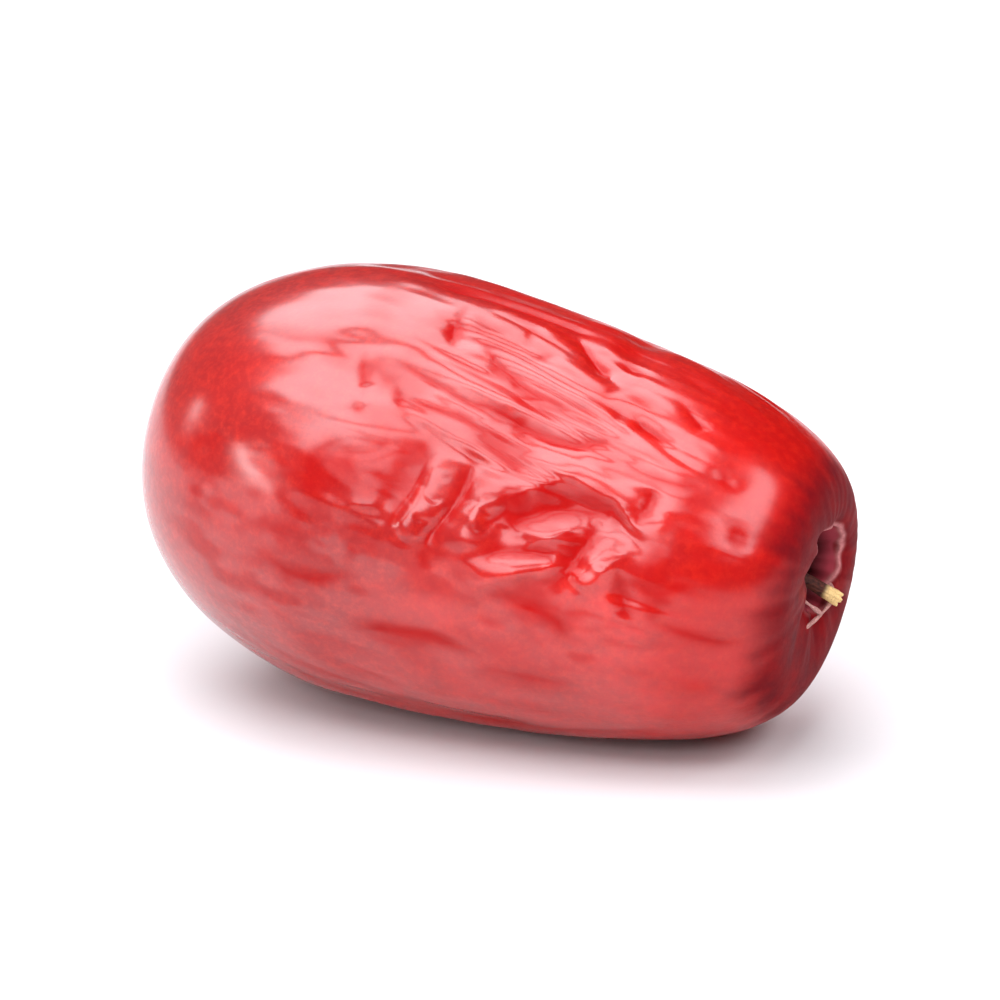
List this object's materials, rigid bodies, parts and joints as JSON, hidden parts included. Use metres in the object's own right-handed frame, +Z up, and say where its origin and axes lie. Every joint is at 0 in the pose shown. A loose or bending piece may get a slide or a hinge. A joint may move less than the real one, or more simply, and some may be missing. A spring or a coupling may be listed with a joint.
{
  "type": "dried jujube fruit",
  "caption": "Dried jujube: a plump egg-shaped fruit with a glossy, wrinkled red skin and the stub of its stalk in the stem cavity, lying on its side.",
  "frame": {"origin": "on the surface that the fruit rests on, below the middle of its box", "axes": "+X along the fruit towards its stem end, +Z up from the surface it rests on"},
  "size_m": [0.0486, 0.0302, 0.0297],
  "materials": {
    "skin": "glossy, waxy, wrinkled fruit skin",
    "stalk": "dry, matte, fibrous"
  },
  "bodies": {
    "root": {"fruit": "skin", "stalk_stub": "stalk"}
  },
  "joints": []
}
